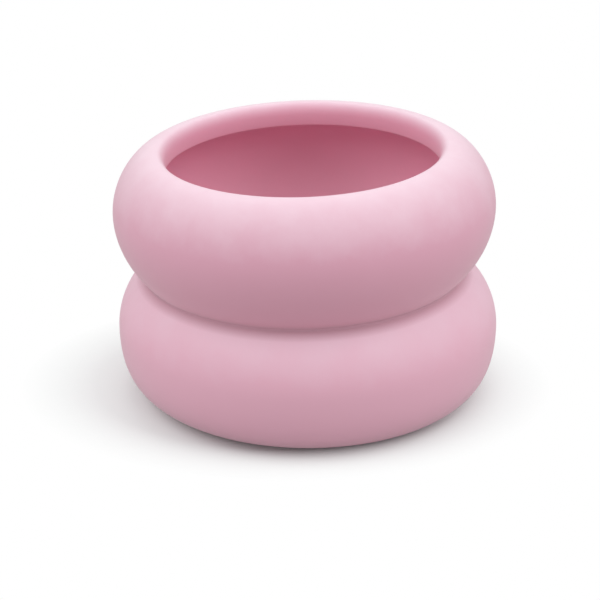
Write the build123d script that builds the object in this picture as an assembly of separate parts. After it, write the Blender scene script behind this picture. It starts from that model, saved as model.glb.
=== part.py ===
from build123d import *
import os

# A flower vessel of two swollen hollow rings, one luted on the other, in millimetres.
# +Z is up, the table is at Z 0, and the axis of the lower ring is the Z axis.
# The upper ring leans a little, with its +X side up, and is set off towards -X.

# Foot pads
pad_count = 4
pad_thickness = 1.0
pad_margin = 1.0            # bare foot left on both sides of a pad

# Lower ring, outside
lower_belly_radius = 80.0
foot_width = 11.9           # flat of the foot, from its inner edge to where it turns up
lower_belly_rise = 28.3     # widest line above the foot
shoulder_rise = 30.1        # top of the shoulder above the widest line
foot_fullness_share = 0.7
shoulder_fullness_share = 0.55

# Lower ring, inside
wall = 7.0
neck_radius = 55.0          # clear bore through the waist
shoulder_overreach = 5.1    # how far inside the neck the shoulder curve would come level
nose_rounding = 1.5
bowl_fullness_share = 0.6

# Floor
slab_passage = 3.0          # room round the slab as it goes in through the neck
slab_thickness = 6.0
slab_gap = 0.4              # filled with joining slip
ledge_width = 8.0           # shelf that carries the slab
ledge_thickness = 3.0
ledge_rounding = 0.8
cove = 3.0                  # leg of the coved corner round the slab

# Upper ring
upper_belly_radius = 79.3
upper_rise = 22.0           # widest line above the top of the lower shoulder
lip_rise = 25.3             # crest of the lip above the widest line
mouth_radius = 56.6         # at the narrowest line of the lip
lip_roll_width = 3.6        # from the crest of the lip in to its narrowest line
lip_roll_height = 5.0       # from the crest of the lip down to its narrowest line
lip_depth = 10.0            # from the crest of the lip down to its lower edge
lip_undercut = 0.6          # how far the lower edge lies back from the narrowest line
lip_edge_rounding = 0.6
underside_sink = 10.6       # how far the underside curve runs on below the lower shoulder
underside_overreach = 1.8   # how far inside the neck that curve would come level
lip_fullness_share = 0.51
lip_roll_fullness_share = 0.55
underside_fullness_share = 0.5
throat_fullness_share = 0.55
lean_degrees = 1.86
set_off = 1.6

# Joint between the rings
slip_thickness = 1.0
crease_rounding = 1.0       # slip pressed out of the joint and smoothed into the crease

# Working allowances
overrun = 5.0               # how far a cutter runs past what it cuts
rim_tolerance = 0.1         # how near to its nominal radius a rim is looked for

# Heights and radii that follow from the sizes above
foot_height = pad_thickness
lower_belly_height = foot_height + lower_belly_rise
shoulder_height = lower_belly_height + shoulder_rise
ledge_height = foot_height + ledge_thickness
slab_top_height = ledge_height + slab_thickness
bowl_height = slab_top_height + cove
upper_belly_height = shoulder_height + upper_rise
shoulder_crest_radius = neck_radius - shoulder_overreach
slab_radius = neck_radius - slab_passage
rebate_radius = slab_radius + slab_gap
ledge_radius = slab_radius - ledge_width
foot_radius = ledge_radius + foot_width
underside_radius = neck_radius - underside_overreach
pad_radius = foot_width / 2 - pad_margin
pad_circle_radius = ledge_radius + foot_width / 2


def point(radius, height):
    """Point of a section, which is drawn in the XZ plane."""
    return Vector(radius, 0, height)


def quarter(belly, crest, fullness_share):
    """Cubic from a belly, where the curve stands upright, to a crest, where it lies level."""
    reach = crest - belly
    belly_handle = belly + point(0, reach.Z * fullness_share)
    crest_handle = crest - point(reach.X * fullness_share, 0)
    return Bezier(belly, belly_handle, crest_handle, crest)


def spin(*edges):
    """Solid of revolution about Z of a closed section."""
    return revolve(make_face(list(edges)), Axis.Z)


def lower_form():
    """Outside of the lower ring, solid right through to the axis."""
    belly = point(lower_belly_radius, lower_belly_height)
    foot = point(foot_radius, foot_height)
    crest = point(shoulder_crest_radius, shoulder_height)
    foot_centre = point(0, foot_height)
    crest_centre = point(0, shoulder_height)
    return spin(
        quarter(belly, foot, foot_fullness_share),
        Line(foot, foot_centre),
        Line(foot_centre, crest_centre),
        Line(crest_centre, crest),
        quarter(belly, crest, shoulder_fullness_share),
    )


def bowl_form():
    """Hollow of the lower ring, from the ledge up to the inside of the shoulder."""
    belly = point(lower_belly_radius - wall, lower_belly_height)
    crest = point(shoulder_crest_radius, shoulder_height - wall)
    crest_centre = point(0, shoulder_height - wall)
    floor_edge = point(rebate_radius, bowl_height)
    rebate = point(rebate_radius, ledge_height)
    rebate_centre = point(0, ledge_height)
    return spin(
        quarter(belly, crest, shoulder_fullness_share),
        Line(crest, crest_centre),
        Line(crest_centre, rebate_centre),
        Line(rebate_centre, rebate),
        Line(rebate, floor_edge),
        quarter(belly, floor_edge, bowl_fullness_share),
    )


def bore(radius, low, high):
    """Round cutter about Z between two heights."""
    return Pos(0, 0, low) * Cylinder(
        radius, high - low, align=(Align.CENTER, Align.CENTER, Align.MIN)
    )


def rims_of(solid, radius):
    """Closed edges of one radius about Z."""
    rims = solid.edges().filter_by(lambda edge: edge.is_closed)
    return rims.filter_by(lambda rim: abs(rim.bounding_box().max.X - radius) < rim_tolerance)


def lower_ring():
    """Hollow ring, open at the neck, with a ledge at the bottom for the floor slab."""
    ring = lower_form() - bowl_form()
    ring -= bore(neck_radius, lower_belly_height, shoulder_height + overrun)
    ring -= bore(ledge_radius, foot_height - overrun, ledge_height)
    ring = fillet(rims_of(ring, neck_radius), nose_rounding)
    return fillet(rims_of(ring, ledge_radius), ledge_rounding)


def upper_form():
    """Upper ring as formed, upright about Z with its widest line at Z 0."""
    belly = point(upper_belly_radius, 0)
    lip_crest = point(mouth_radius + lip_roll_width, lip_rise)
    lip_narrows = point(mouth_radius, lip_rise - lip_roll_height)
    lip_edge = point(mouth_radius + lip_undercut, lip_rise - lip_depth)
    throat_belly = point(upper_belly_radius - wall, 0)
    underside = point(underside_radius, -upper_rise - underside_sink)
    throat_end = underside + point(0, wall)
    ring = spin(
        quarter(belly, lip_crest, lip_fullness_share),
        quarter(lip_narrows, lip_crest, lip_roll_fullness_share),
        TangentArc(lip_narrows, lip_edge, tangent=-Axis.Z.direction),
        quarter(throat_belly, lip_edge, throat_fullness_share),
        quarter(throat_belly, throat_end, throat_fullness_share),
        Line(throat_end, underside),
        quarter(belly, underside, underside_fullness_share),
    )
    return fillet(rims_of(ring, lip_edge.X), lip_edge_rounding)


def seated_upper_form():
    """Upper ring leaned and set down on the lower shoulder, not yet trimmed to it."""
    return Pos(-set_off, 0, upper_belly_height) * Rot(0, -lean_degrees, 0) * upper_form()


def upper_ring():
    """Leaning ring, its lower edge coped to the shoulder with room for the slip."""
    return seated_upper_form() - Pos(0, 0, slip_thickness) * lower_form()


def on_shoulder(edge):
    """Whether an edge lies wholly between the widest line of the lower ring and its top."""
    box = edge.bounding_box()
    return lower_belly_height < box.min.Z and box.max.Z < shoulder_height


def waist_seam():
    """Layer of slip between the shoulder and the coped edge, smoothed into the crease outside."""
    upper, lower = seated_upper_form(), lower_form()
    rims = (upper + lower).edges().filter_by(lambda edge: edge.is_closed and on_shoulder(edge))
    crease = rims.sort_by(SortBy.LENGTH)[-1]
    bead = fillet(crease, crease_rounding) - upper - lower
    layer = (upper & Pos(0, 0, slip_thickness) * lower) - lower
    return bead + layer


def floor_slab():
    """Round slab laid on the ledge."""
    return bore(slab_radius, ledge_height, slab_top_height)


def floor_seam():
    """Slip that fills the gap round the slab and is coved over its top edge."""
    cove_foot = point(rebate_radius - cove, slab_top_height)
    cove_head = point(rebate_radius, bowl_height)
    cove_centre = point(rebate_radius - cove, bowl_height)
    slab_edge = point(slab_radius, slab_top_height)
    gap_inner = point(slab_radius, ledge_height)
    gap_outer = point(rebate_radius, ledge_height)
    hollow = cove_centre + Vector(cove, 0, -cove).normalized() * cove
    return spin(
        ThreePointArc(cove_foot, hollow, cove_head),
        Line(cove_head, gap_outer),
        Line(gap_outer, gap_inner),
        Line(gap_inner, slab_edge),
        Line(slab_edge, cove_foot),
    )


def foot_pad(index):
    """One round pad under the foot, the pads evenly spaced and turned half a step."""
    turn = (index + 0.5) * 360 / pad_count
    return Rot(0, 0, turn) * Pos(pad_circle_radius, 0, 0) * bore(pad_radius, 0, foot_height)


nodes = {
    "lower_ring": lower_ring(),
    "upper_ring": upper_ring(),
    "waist_seam": waist_seam(),
    "floor_slab": floor_slab(),
    "floor_seam": floor_seam(),
}
for index in range(pad_count):
    nodes[f"foot_pad_{index + 1}"] = foot_pad(index)

os.makedirs("parts", exist_ok=True)
for name, shape in nodes.items():
    export_step(shape, f"parts/{name}.step")
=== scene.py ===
import bpy
import numpy as np
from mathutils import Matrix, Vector


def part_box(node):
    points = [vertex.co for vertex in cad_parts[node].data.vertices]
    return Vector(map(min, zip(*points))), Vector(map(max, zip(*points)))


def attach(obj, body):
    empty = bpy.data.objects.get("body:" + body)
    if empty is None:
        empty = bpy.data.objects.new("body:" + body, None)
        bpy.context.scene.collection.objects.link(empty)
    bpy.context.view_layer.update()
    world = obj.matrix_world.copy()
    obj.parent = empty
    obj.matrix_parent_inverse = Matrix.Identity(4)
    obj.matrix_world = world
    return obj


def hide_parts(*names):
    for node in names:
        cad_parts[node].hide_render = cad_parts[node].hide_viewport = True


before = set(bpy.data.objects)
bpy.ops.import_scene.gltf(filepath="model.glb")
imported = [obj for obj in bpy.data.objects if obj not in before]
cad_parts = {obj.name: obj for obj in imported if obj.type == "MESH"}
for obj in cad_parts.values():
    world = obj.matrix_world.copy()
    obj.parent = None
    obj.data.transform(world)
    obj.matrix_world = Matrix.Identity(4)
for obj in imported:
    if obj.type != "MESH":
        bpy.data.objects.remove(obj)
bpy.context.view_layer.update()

# Lower ring
# Swollen hollow ring of stoneware that the vase stands on, formed in one piece: rolled under to a
# flat foot, with a ledge inside for the floor and a rounded nose round the neck.
MM = 0.001
TURN_STEPS = 256
CURVE_STEPS = 36
SHARP_ANGLE = np.radians(50)

foot_width = 11.9
lower_belly_rise = 28.3
shoulder_rise = 30.1
shoulder_overreach = 5.1
neck_radius = 55.0
nose_rounding = 1.5
wall = 7.0
slab_gap = 0.4
ledge_width = 8.0
ledge_rounding = 0.8
cove = 3.0
foot_fullness = 0.7
shoulder_fullness = 0.55
bowl_fullness = 0.6

ring_low, ring_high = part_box("lower_ring")
slab_low, slab_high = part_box("floor_slab")
foot_height = ring_low.z / MM
ledge_height = slab_low.z / MM
slab_top_height = slab_high.z / MM
slab_radius = slab_high.x / MM
rebate_radius = slab_radius + slab_gap
ledge_radius = slab_radius - ledge_width

across = np.array([1.0, 0.0])
upwards = np.array([0.0, 1.0])
share = np.linspace(0, 1, CURVE_STEPS)

lower_foot = np.array([ledge_radius + foot_width, foot_height])
lower_belly = np.array([ring_high.x / MM, foot_height + lower_belly_rise])
shoulder_crest = np.array([neck_radius - shoulder_overreach, lower_belly[1] + shoulder_rise])
bowl_belly = lower_belly - wall * across
bowl_crest = shoulder_crest - wall * upwards
bowl_floor = np.array([rebate_radius, slab_top_height + cove])


def quarter(belly, crest, fullness, share=share):
    """Points, as radius and height, of a cubic that leaves the belly upright and meets the crest
    level, with handles that are a share (fullness) of its reach."""
    reach = crest - belly
    handles = [belly, belly + fullness * reach * upwards, crest - fullness * reach * across, crest]
    rest = 1 - share
    weights = [rest**3, 3 * share * rest**2, 3 * share**2 * rest, share**3]
    return sum(weight[..., None] * handle for weight, handle in zip(weights, handles))


def bend(start, corner, end, steps=8):
    """Rounded corner: a quadratic from start to end that is drawn towards the corner."""
    t = np.linspace(0, 1, steps)[:, None]
    return (1 - t) ** 2 * start + 2 * t * (1 - t) * corner + t**2 * end


def spin(profile, steps=TURN_STEPS):
    """Grid of points, the rows along a radius and height profile and the columns round the Z axis."""
    angle = np.linspace(0, 2 * np.pi, steps, endpoint=False)
    radius, height = profile[:, :1], profile[:, 1:]
    return np.stack([radius * np.cos(angle), radius * np.sin(angle), height + 0 * angle], axis=-1)


def skin(name, grid, material, node, looped=True, poured_and_shaded=0):
    """Piece with a mesh over a grid in millimetres, whose columns close round an axis. The rows
    close too if looped; otherwise the first and the last row are each one point. Each row has its
    share of the deeper inside colour, which is the inside glaze and in part painted shade of the
    hollow."""
    rows, columns = grid.shape[:2]
    after = np.roll(np.arange(columns), -1)
    index = np.arange(rows * columns).reshape(rows, columns)
    points, faces = grid.reshape(-1, 3), []
    shares = np.repeat(np.broadcast_to(poured_and_shaded, rows).astype(float), columns)
    low, high = index, np.roll(index, -1, axis=0)
    if not looped:
        points = np.concatenate([grid[0, :1], points[columns:-columns], grid[-1, :1]])
        shares = shares[columns - 1 : 1 - columns]
        index = index[1:-1] - columns + 1
        low, high = index[:-1], index[1:]
        first, last = np.zeros(columns, int), np.full(columns, len(points) - 1)
        faces += np.stack([first, index[0, after], index[0]], axis=-1).tolist()
        faces += np.stack([last, index[-1], index[-1, after]], axis=-1).tolist()
    faces += np.stack([low, low[:, after], high[:, after], high], axis=-1).reshape(-1, 4).tolist()
    mesh = bpy.data.meshes.new(name)
    mesh.from_pydata((points * MM).tolist(), [], faces)
    mesh.shade_smooth()
    mesh.set_sharp_from_angle(angle=SHARP_ANGLE)
    mesh.attributes.new("poured_and_shaded", "FLOAT", "POINT").data.foreach_set("value", shares)
    mesh.materials.append(material)
    piece = bpy.data.objects.new(name, mesh)
    bpy.context.scene.collection.objects.link(piece)
    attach(piece, "root")
    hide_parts(node)


def linear(hex_colour):
    """Linear RGBA of an sRGB hex colour."""
    srgb = np.array([int(hex_colour[k : k + 2], 16) / 255 for k in (1, 3, 5)])
    rgb = np.where(srgb <= 0.04045, srgb / 12.92, ((srgb + 0.055) / 1.055) ** 2.4)
    return (*rgb.tolist(), 1.0)


def add_node(tree, kind, inputs=(), **settings):
    """Adds a node with its settings; each input, by name or number, is a value or a linked socket."""
    made = tree.nodes.new(kind)
    for name, value in settings.items():
        setattr(made, name, value)
    for name, value in dict(inputs).items():
        if isinstance(value, bpy.types.NodeSocket):
            tree.links.new(value, made.inputs[name])
        else:
            made.inputs[name].default_value = value
    return made


def new_material(name):
    """Empty node material and its tree."""
    material = bpy.data.materials.new(name)
    material.use_nodes = True
    material.node_tree.nodes.clear()
    return material, material.node_tree


# Matte glazed stoneware: smooth satin-matt pink glaze on a fine clay. It gives the eye a chalky,
# even pink. Painted light makes it paler as the surface turns up, and painted shade makes it deeper
# as the surface turns down. It is deeper inside, with the inside glaze and in part painted shade of
# the hollow, and painted shade darkens the crease between the rings. It has faint clouds, a fine
# grain and a pale sheen at the edges.
def glazed_stoneware(name, lit_up_colour, full, shaded_down_colour):
    """Glaze whose colour goes from painted shade to painted light as the surface turns up, is darkened
    with painted shade towards the plane of the crease, and takes the deeper inside colour, in part
    painted shade, by the share that each point carries."""
    # Colours: painted shade for the crease, and the deeper inside colour, which is in part painted shade
    # of the hollow.
    painted_crease_shade, inside = "#C595A4", "#EBA8BE"
    crease_plane = (-0.0184, 0.0, 1.0)
    crease_height = 54.0 * MM
    crease_shade_below, crease_shade_above = 3.2 * MM, 2.5 * MM
    most_shaded_facing, most_lit_facing = -0.75, 1.25
    upright_share = 0.58
    cloud_size = 14 * MM
    cloud_share = 0.5
    grain_size = 1.2 * MM
    grain_depth = 0.02 * MM
    material, tree = new_material(name)
    place = add_node(tree, "ShaderNodeTexCoord").outputs["Object"]
    facing = add_node(tree, "ShaderNodeNewGeometry").outputs["Normal"]
    facing_up = add_node(tree, "ShaderNodeSeparateXYZ", {0: facing}).outputs["Z"]
    clouds = add_node(
        tree,
        "ShaderNodeTexNoise",
        {"Vector": place, "Scale": 1 / cloud_size, "Detail": 4.0, "Roughness": 0.6},
    ).outputs["Fac"]
    # Painted light and shade: paler as the surface faces up, deeper as it faces down, broken up by the
    # clouds.
    cloudy_facing = add_node(
        tree, "ShaderNodeMath", {0: clouds, 1: cloud_share, 2: facing_up}, operation="MULTIPLY_ADD"
    ).outputs[0]
    painted_lightness = add_node(
        tree,
        "ShaderNodeMapRange",
        {"Value": cloudy_facing, "From Min": most_shaded_facing, "From Max": most_lit_facing},
    ).outputs["Result"]
    outer = add_node(tree, "ShaderNodeValToRGB", {"Fac": painted_lightness})
    outer.color_ramp.elements[0].color = linear(shaded_down_colour)
    outer.color_ramp.elements[1].color = linear(lit_up_colour)
    outer.color_ramp.elements.new(upright_share).color = linear(full)
    # Painted shade: darker towards the plane of the crease between the rings, fading over a few
    # millimetres below and above it.
    rise = add_node(
        tree, "ShaderNodeVectorMath", {0: place, 1: crease_plane}, operation="DOT_PRODUCT"
    ).outputs["Value"]
    below, above = [
        add_node(
            tree,
            "ShaderNodeMapRange",
            {"Value": rise, "From Min": crease_height + reach, "From Max": crease_height},
        ).outputs["Result"]
        for reach in (-crease_shade_below, crease_shade_above)
    ]
    crease_shade_mask = add_node(tree, "ShaderNodeMath", {0: below, 1: above}, operation="MINIMUM").outputs[0]
    outer_colour = add_node(
        tree,
        "ShaderNodeMix",
        {0: crease_shade_mask, 6: outer.outputs["Color"], 7: linear(painted_crease_shade)},
        data_type="RGBA",
    ).outputs[2]
    # Share of the deeper inside colour: the inside glaze, and in part painted shade of the hollow.
    poured_and_shaded = add_node(tree, "ShaderNodeAttribute", attribute_name="poured_and_shaded").outputs["Fac"]
    colour = add_node(
        tree, "ShaderNodeMix", {0: poured_and_shaded, 6: outer_colour, 7: linear(inside)}, data_type="RGBA"
    ).outputs[2]
    grain = add_node(
        tree, "ShaderNodeTexNoise", {"Vector": place, "Scale": 1 / grain_size, "Detail": 2.0}
    ).outputs["Fac"]
    gloss = add_node(tree, "ShaderNodeMapRange", {"Value": grain, "To Min": 0.5, "To Max": 0.62})
    relief = add_node(
        tree, "ShaderNodeBump", {"Height": grain, "Strength": 0.4, "Distance": grain_depth}
    )
    surface = add_node(
        tree,
        "ShaderNodeBsdfPrincipled",
        {
            "Base Color": colour,
            "Roughness": gloss.outputs["Result"],
            "IOR": 1.45,
            "Sheen Weight": 0.32,
            "Sheen Roughness": 0.5,
            "Normal": relief.outputs["Normal"],
        },
    )
    add_node(tree, "ShaderNodeOutputMaterial", {"Surface": surface.outputs["BSDF"]})
    return material


# Colours: painted light facing up, side on, and painted shade facing down.
lower_glaze = glazed_stoneware("matte_glazed_stoneware_lower", "#ECC9D8", "#E8B1C4", "#E6ABBE")

shoulder = quarter(lower_belly, shoulder_crest, shoulder_fullness)
bowl_shoulder = quarter(bowl_belly, bowl_crest, shoulder_fullness)
outside = shoulder[shoulder[:, 0] > neck_radius + nose_rounding]
inside = bowl_shoulder[bowl_shoulder[:, 0] > neck_radius + nose_rounding][::-1]
nose_top = np.array([neck_radius, np.interp(-neck_radius, -shoulder[:, 0], shoulder[:, 1])])
nose_base = np.array([neck_radius, np.interp(-neck_radius, -bowl_shoulder[:, 0], bowl_shoulder[:, 1])])
ledge_edge = np.array([ledge_radius, ledge_height])
foot_edge = np.array([ledge_radius, foot_height])
lower_outside = np.concatenate(
    [
        bend(foot_edge + ledge_rounding * upwards, foot_edge, foot_edge + ledge_rounding * across),
        quarter(lower_belly, lower_foot, foot_fullness)[::-1],
        outside[1:],
    ]
)
lower_inside = np.concatenate(
    [
        bend(outside[-1], nose_top, nose_top - nose_rounding * upwards)[1:],
        bend(nose_base + nose_rounding * upwards, nose_base, inside[0]),
        inside[1:],
        quarter(bowl_belly, bowl_floor, bowl_fullness)[1:],
        [[rebate_radius, ledge_height]],
        bend(ledge_edge + ledge_rounding * across, ledge_edge, ledge_edge - ledge_rounding * upwards),
    ]
)
lower_profile = np.concatenate([lower_outside, lower_inside])
lower_poured_and_shaded = np.arange(len(lower_profile)) >= len(lower_outside)
lower_poured_and_shaded |= (lower_profile[:, 0] < neck_radius + wall) & (lower_profile[:, 1] > lower_belly[1])
lower_grid = spin(lower_profile)
skin("lower_ring_glazed", lower_grid, lower_glaze, "lower_ring", poured_and_shaded=lower_poured_and_shaded)

# Floor slab
# Round slab of the same clay, rolled out flat and cut to go in through the neck. It lies on the
# lower ring's ledge and is the bottom of the vase.
slab_rounding = 0.4
slab_foot = np.array([slab_radius, ledge_height])
slab_rim = np.array([slab_radius, slab_top_height])
slab_profile = np.concatenate(
    [
        [[0, ledge_height], [slab_radius / 2, ledge_height]],
        bend(slab_foot - slab_rounding * across, slab_foot, slab_foot + slab_rounding * upwards, 4),
        bend(slab_rim - slab_rounding * upwards, slab_rim, slab_rim - slab_rounding * across, 4),
        [[slab_radius / 2, slab_top_height], [0, slab_top_height]],
    ]
)
slab_poured_and_shaded = slab_profile[:, 1] > ledge_height + slab_rounding
slab_grid = spin(slab_profile)
skin(
    "floor_slab_glazed",
    slab_grid,
    lower_glaze,
    "floor_slab",
    looped=False,
    poured_and_shaded=slab_poured_and_shaded,
)

# Floor seam
# Slip that fills the gap round the slab and is wiped to a hollow cove in the corner, so that
# the bowl holds water.
# Joining slip: thin clay of the same pink, with less glaze than the rings; dull and a little deeper.
slip_colour, slip_shade = "#D9A5B6", "#CC93A6"
slip_cloud_size = 5 * MM
joining_slip, tree = new_material("joining_slip")
place = add_node(tree, "ShaderNodeTexCoord").outputs["Object"]
blotches = add_node(
    tree, "ShaderNodeTexNoise", {"Vector": place, "Scale": 1 / slip_cloud_size, "Detail": 3.0}
).outputs["Fac"]
slip_tint = add_node(tree, "ShaderNodeValToRGB", {"Fac": blotches})
slip_tint.color_ramp.elements[0].color = linear(slip_shade)
slip_tint.color_ramp.elements[1].color = linear(slip_colour)
slip = add_node(
    tree,
    "ShaderNodeBsdfPrincipled",
    {"Base Color": slip_tint.outputs["Color"], "Roughness": 0.7, "IOR": 1.45},
)
add_node(tree, "ShaderNodeOutputMaterial", {"Surface": slip.outputs["BSDF"]})

cove_head = np.array([rebate_radius, slab_top_height + cove])
sweep = np.linspace(np.pi * 3 / 2, np.pi * 2, 16)[:, None]
cove_face = cove_head + cove * (np.cos(sweep) - 1) * across + cove * np.sin(sweep) * upwards
floor_seam_profile = np.concatenate(
    [slab_rim[None], slab_foot[None], [[rebate_radius, ledge_height]], cove_face[::-1]]
)
skin("floor_seam_coved", spin(floor_seam_profile), joining_slip, "floor_seam")

# Upper ring
# Second swollen ring, with the thick lip of the mouth: rolled in softly and a little under, with
# a crisp lower edge. It was set down by eye, so it leans, its right side up, and stands a little
# to the left. Its lower edge is coped to the shoulder of the lower ring.
HALVINGS = 30

upper_belly_radius = 79.3
upper_rise = 22.0
lip_rise = 25.3
mouth_radius = 56.6
lip_roll_width = 3.6
lip_roll_height = 5.0
lip_depth = 10.0
lip_undercut = 0.6
lip_edge_rounding = 0.6
underside_sink = 10.6
underside_overreach = 1.8
set_off = 1.6
lip_fullness = 0.51
lip_roll_fullness = 0.55
underside_fullness = 0.5
throat_fullness = 0.55
slip_thickness = 1.0
lean = np.radians(1.86)
upper_centre = np.array([-set_off, 0.0, shoulder_crest[1] + upper_rise])
turn = np.linspace(0, 2 * np.pi, TURN_STEPS, endpoint=False)

upper_belly = np.array([upper_belly_radius, 0.0])
throat_belly = upper_belly - wall * across
underside = np.array([neck_radius - underside_overreach, -upper_rise - underside_sink])
throat_end = underside + wall * upwards
lip_crest = np.array([mouth_radius + lip_roll_width, lip_rise])
lip_narrows = np.array([mouth_radius, lip_rise - lip_roll_height])
lip_edge = np.array([mouth_radius + lip_undercut, lip_rise - lip_depth])


def leaned(profile):
    """Points of a radius and height profile carried round the leaning ring's own axis."""
    radius, height = profile[..., 0], profile[..., 1]
    x, y = radius * np.cos(turn), radius * np.sin(turn)
    aside = x * np.cos(lean) - height * np.sin(lean)
    above = x * np.sin(lean) + height * np.cos(lean)
    return np.stack([aside, y, above], axis=-1) + upper_centre


def bed_height(points, bed):
    """Height, under each point, of a bed that is a radius and height profile about the Z axis."""
    return np.interp(np.hypot(points[..., 0], points[..., 1]), bed[::-1, 0], bed[::-1, 1])


def share_at_bed(curve, bed):
    """Share of a curve's length, column by column, at which it comes down on the bed, by halving."""
    clear, sunk = np.zeros(TURN_STEPS), np.ones(TURN_STEPS)
    for _ in range(HALVINGS):
        middle = (clear + sunk) / 2
        points = leaned(curve(middle))
        above = points[:, 2] > bed_height(points, bed)
        clear, sunk = np.where(above, middle, clear), np.where(above, sunk, middle)
    return middle


def along_bed(start, end, bed, steps=8):
    """Rows of points between two rows, laid on the bed."""
    t = np.linspace(0, 1, steps)[1:-1, None, None]
    rows = start + t * (end - start)
    rows[..., 2] = bed_height(rows, bed)
    return rows


def outer_curve(share):
    """Underside of the ring, from its belly down and in."""
    return quarter(upper_belly, underside, underside_fullness, share)


def inner_curve(share):
    """Throat of the ring, from the belly inside down and in."""
    return quarter(throat_belly, throat_end, throat_fullness, share)


slip_bed = shoulder + slip_thickness * upwards
outer_end = share_at_bed(outer_curve, slip_bed)
inner_end = share_at_bed(inner_curve, slip_bed)
outer_rows = leaned(outer_curve(share[::-1, None] * outer_end))
inner_rows = leaned(inner_curve(share[:, None] * inner_end))
lip_drop = lip_edge - lip_narrows
drop = np.linspace(0, 1 + lip_edge_rounding / lip_drop[1], 10)[:, None]
lip_under = lip_narrows + lip_drop * (drop**2 * across + drop * upwards)
throat = quarter(throat_belly, lip_edge, throat_fullness)[::-1]
throat = throat[throat[:, 0] > lip_edge[0] + lip_edge_rounding]
top = quarter(upper_belly, lip_crest, lip_fullness)[1:]
lip_roll = quarter(lip_narrows, lip_crest, lip_roll_fullness)[-2::-1]
lip_inside = np.concatenate(
    [
        lip_under[1:],
        bend(lip_under[-1], lip_edge, throat[0])[1:],
        throat[1:],
    ]
)
upper_grid = np.concatenate(
    [
        outer_rows,
        leaned(np.concatenate([top, lip_roll, lip_inside])[:, None]),
        inner_rows[1:],
        along_bed(inner_rows[-1], outer_rows[0], slip_bed),
    ]
)
# The upper ring's glaze is a little deeper on its sides than the lower ring's.
upper_glaze = glazed_stoneware("matte_glazed_stoneware_upper", "#EDCEDB", "#DFA5B9", "#DC9DB0")
# Inside the mouth the ring takes the deeper inside colour. Down the lip's roll it grades into that
# colour, which is painted shade as the lip turns in.
upper_poured_and_shaded = np.ones(len(upper_grid))
upper_poured_and_shaded[: len(outer_rows) + len(top)] = 0
upper_poured_and_shaded[len(outer_rows) + len(top) :][: len(lip_roll)] = np.linspace(0, 1, len(lip_roll)) ** 2
skin("upper_ring_glazed", upper_grid, upper_glaze, "upper_ring", poured_and_shaded=upper_poured_and_shaded)

# Waist seam
# Slip that joins the rings: a thin layer between the shoulder and the coped edge, pressed out
# and wiped with a finger to a soft hollow in the crease. The glaze covers it, and painted shade
# darkens the crease.
crease_rounding = 1.0


def raised(belly, end, fullness, share):
    """Points of a quarter moved out from its ring by the rounding of the crease."""
    step = 1e-4
    along = quarter(belly, end, fullness, share + step) - quarter(belly, end, fullness, share - step)
    outwards = along[..., ::-1] * np.array([1, -1]) * np.sign(end[1] - belly[1])
    outwards /= np.linalg.norm(outwards, axis=-1, keepdims=True)
    return quarter(belly, end, fullness, share) + crease_rounding * outwards


def raised_outer_curve(share):
    """Underside of the upper ring, moved out."""
    return raised(upper_belly, underside, underside_fullness, share)


raised_shoulder = raised(lower_belly, shoulder_crest, shoulder_fullness, share)
upper_touch_share = share_at_bed(raised_outer_curve, raised_shoulder)
hollow_centre = leaned(raised_outer_curve(upper_touch_share))
upper_touch = leaned(outer_curve(upper_touch_share))
centre_radius = np.hypot(hollow_centre[:, 0], hollow_centre[:, 1])
lower_touch_share = np.interp(-centre_radius, -raised_shoulder[:, 0], share)
lower_touch_profile = quarter(lower_belly, shoulder_crest, shoulder_fullness, lower_touch_share)
lower_touch = hollow_centre * (lower_touch_profile[:, :1] / centre_radius[:, None])
lower_touch[:, 2] = lower_touch_profile[:, 1]
blend = np.linspace(0, 1, 10)[:, None, None]
hollow = (1 - blend) * (lower_touch - hollow_centre) + blend * (upper_touch - hollow_centre)
hollow = hollow_centre + crease_rounding * hollow / np.linalg.norm(hollow, axis=-1, keepdims=True)
cover = np.linspace(upper_touch_share, outer_end, 4)[1:]
inner_foot = leaned(inner_curve(share_at_bed(inner_curve, shoulder)))
waist_grid = np.concatenate(
    [
        hollow,
        leaned(outer_curve(cover)),
        along_bed(outer_rows[0], inner_rows[-1], slip_bed),
        inner_rows[-1:],
        inner_foot[None],
        along_bed(inner_foot, lower_touch, shoulder),
    ]
)
seam_glaze = glazed_stoneware("matte_glazed_slip", "#ECC9D8", "#DFA5B9", "#DC9DB0")
seam_poured_and_shaded = np.arange(len(waist_grid)) >= len(hollow) + len(cover)
skin("waist_seam_wiped", waist_grid, seam_glaze, "waist_seam", poured_and_shaded=seam_poured_and_shaded)

# Foot pads
# Four round felt pads stuck under the foot, so that the clay doesn't scratch the table.
# Pressed wool felt: warm grey, dull, with a fibrous mottle and a soft fuzz at grazing angles.
PAD_TURN_STEPS = 64

pad_count = 4
pad_margin = 1.0
pad_radius = foot_width / 2 - pad_margin
pad_circle_radius = ledge_radius + foot_width / 2
pad_rounding = 0.3
fibre_size = 0.8 * MM
fibre_depth = 0.15 * MM
felt_pale, felt_dark = "#CFC7BD", "#A79C90"
wool_felt, tree = new_material("pressed_wool_felt")
place = add_node(tree, "ShaderNodeTexCoord").outputs["Object"]
fibres = add_node(
    tree,
    "ShaderNodeTexNoise",
    {"Vector": place, "Scale": 1 / fibre_size, "Detail": 4.0, "Distortion": 1.5},
).outputs["Fac"]
felt_tint = add_node(tree, "ShaderNodeValToRGB", {"Fac": fibres})
felt_tint.color_ramp.elements[0].color = linear(felt_dark)
felt_tint.color_ramp.elements[1].color = linear(felt_pale)
fuzz = add_node(tree, "ShaderNodeBump", {"Height": fibres, "Strength": 0.6, "Distance": fibre_depth})
felt = add_node(
    tree,
    "ShaderNodeBsdfPrincipled",
    {
        "Base Color": felt_tint.outputs["Color"],
        "Roughness": 0.95,
        "Sheen Weight": 0.4,
        "Normal": fuzz.outputs["Normal"],
    },
)
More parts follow.
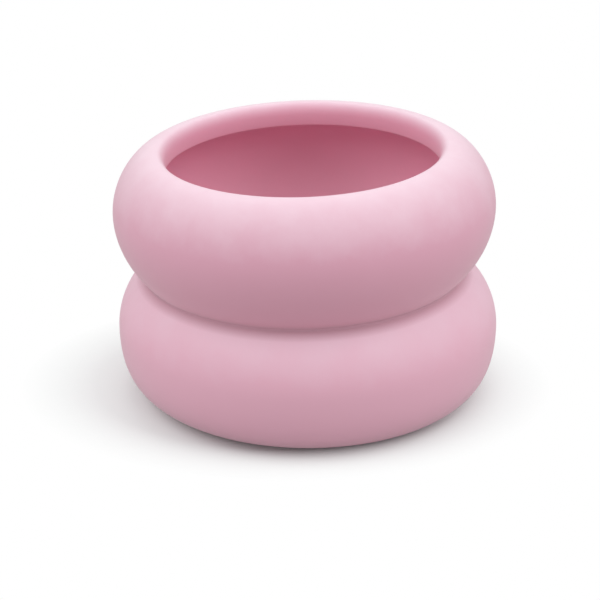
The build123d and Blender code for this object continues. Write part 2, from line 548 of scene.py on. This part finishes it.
add_node(tree, "ShaderNodeOutputMaterial", {"Surface": felt.outputs["BSDF"]})

pad_foot = np.array([pad_radius, 0.0])
pad_rim = np.array([pad_radius, foot_height])
pad_profile = np.concatenate(
    [
        [[0, 0], [pad_radius / 2, 0]],
        bend(pad_foot - pad_rounding * across, pad_foot, pad_foot + pad_rounding * upwards, 5),
        bend(pad_rim - pad_rounding * upwards, pad_rim, pad_rim - pad_rounding * across, 5),
        [[pad_radius / 2, foot_height], [0, foot_height]],
    ]
)
for number in range(pad_count):
    bearing = 2 * np.pi * (number + 0.5) / pad_count
    pad_place = pad_circle_radius * np.array([np.cos(bearing), np.sin(bearing), 0])
    pad_grid = spin(pad_profile, PAD_TURN_STEPS) + pad_place
    node = f"foot_pad_{number + 1}"
    skin(f"felt_pad_{number + 1}", pad_grid, wool_felt, node, looped=False)

# Table
# White paper sweep under and behind the vase. To the camera it glows plain white away from the
# shadow. This is painted light: it fades in over a stretched, shifted ring round the vase and
# lightens the outer part of the vase's soft shadow. White paper: dull, with a faint cool tint that
# offsets the pink light the vase throws on it. To bounced light it is grey, so it throws less light
# up onto the vase.
table_reach = 4.0
shadow_stretch = (0.98, 1.25, 1)
shadow_shift = (0.009, 0, 0)
shadow_near, shadow_far = 80 * MM, 112 * MM
corners = np.array([[-1, -1, 0], [1, -1, 0], [1, 1, 0], [-1, 1, 0]]) * table_reach
table_mesh = bpy.data.meshes.new("table")
table_mesh.from_pydata(corners.tolist(), [], [(0, 1, 2, 3)])
white_paper, tree = new_material("white_paper")
place = add_node(tree, "ShaderNodeTexCoord").outputs["Object"]
spread = add_node(
    tree,
    "ShaderNodeVectorMath",
    {0: place, 1: shadow_stretch, 2: shadow_shift},
    operation="MULTIPLY_ADD",
).outputs[0]
distance = add_node(tree, "ShaderNodeVectorMath", {0: spread}, operation="LENGTH").outputs["Value"]
# Painted light: the glow fades in between shadow_near and shadow_far.
fade = add_node(
    tree, "ShaderNodeMapRange", {"Value": distance, "From Min": shadow_near, "From Max": shadow_far}
).outputs["Result"]
ray = add_node(tree, "ShaderNodeLightPath").outputs["Is Camera Ray"]
seen = add_node(tree, "ShaderNodeMath", {0: fade, 1: ray}, operation="MULTIPLY").outputs[0]
paper = add_node(tree, "ShaderNodeBsdfDiffuse", {"Color": linear("#F5FCFA")}).outputs["BSDF"]
glow = add_node(tree, "ShaderNodeEmission", {"Strength": 1.0}).outputs["Emission"]
dim_paper = add_node(tree, "ShaderNodeBsdfDiffuse", {"Color": linear("#BCBCBC")}).outputs["BSDF"]
any_paper = add_node(tree, "ShaderNodeMixShader", {0: ray, 1: dim_paper, 2: paper}).outputs["Shader"]
lit_paper = add_node(tree, "ShaderNodeMixShader", {0: seen, 1: any_paper, 2: glow})
add_node(tree, "ShaderNodeOutputMaterial", {"Surface": lit_paper.outputs["Shader"]})
table_mesh.materials.append(white_paper)
table = bpy.data.objects.new("table", table_mesh)
bpy.context.scene.collection.objects.link(table)

# Light
# A white light tent all round, with a soft lamp high on each side, the right one a little stronger,
# and a weak one behind.
lamp_size = 0.9
lamp_aim = Vector((0, 0, 0.06))
tent_strength, backdrop_strength = 0.72, 1.0
for name, power, stand in (
    ("right_lamp", 4.0, (0.78, -0.25, 0.80)),
    ("left_lamp", 3.6, (-0.78, -0.25, 0.80)),
    ("back_lamp", 1.0, (0.0, 0.55, 0.95)),
):
    lamp = bpy.data.lights.new(name, "AREA")
    lamp.shape = "DISK"
    lamp.size = lamp_size
    lamp.energy = power
    lamp_stand = bpy.data.objects.new(name, lamp)
    lamp_stand.location = stand
    lamp_stand.rotation_euler = (lamp_aim - lamp_stand.location).to_track_quat("-Z", "Y").to_euler()
    bpy.context.scene.collection.objects.link(lamp_stand)

light_tent = bpy.data.worlds.new("light_tent")
light_tent.use_nodes = True
tree = light_tent.node_tree
tree.nodes.clear()
ray = add_node(tree, "ShaderNodeLightPath").outputs["Is Camera Ray"]
tent, backdrop = [
    add_node(tree, "ShaderNodeBackground", {"Color": linear("#FFFFFF"), "Strength": strength}).outputs[0]
    for strength in (tent_strength, backdrop_strength)
]
backdrop_or_tent = add_node(tree, "ShaderNodeMixShader", {0: ray, 1: tent, 2: backdrop})
add_node(tree, "ShaderNodeOutputWorld", {"Surface": backdrop_or_tent.outputs["Shader"]})
bpy.context.scene.world = light_tent

# Camera
# Long lens, a little above the mouth, straight in front of the vase.
elevation = np.radians(23.594)
camera_distance = 800.2 * MM
target = np.array([-3.30, 0.0, 37.86]) * MM
lens = bpy.data.cameras.new("camera")
lens.lens = 113.06
lens.sensor_width = 36.0
camera = bpy.data.objects.new("camera", lens)
camera.location = target + camera_distance * np.array([0, -np.cos(elevation), np.sin(elevation)])
camera.rotation_euler = (np.pi / 2 - elevation, 0, 0)
bpy.context.scene.collection.objects.link(camera)
bpy.context.scene.camera = camera
bpy.context.scene.view_settings.view_transform = "Standard"
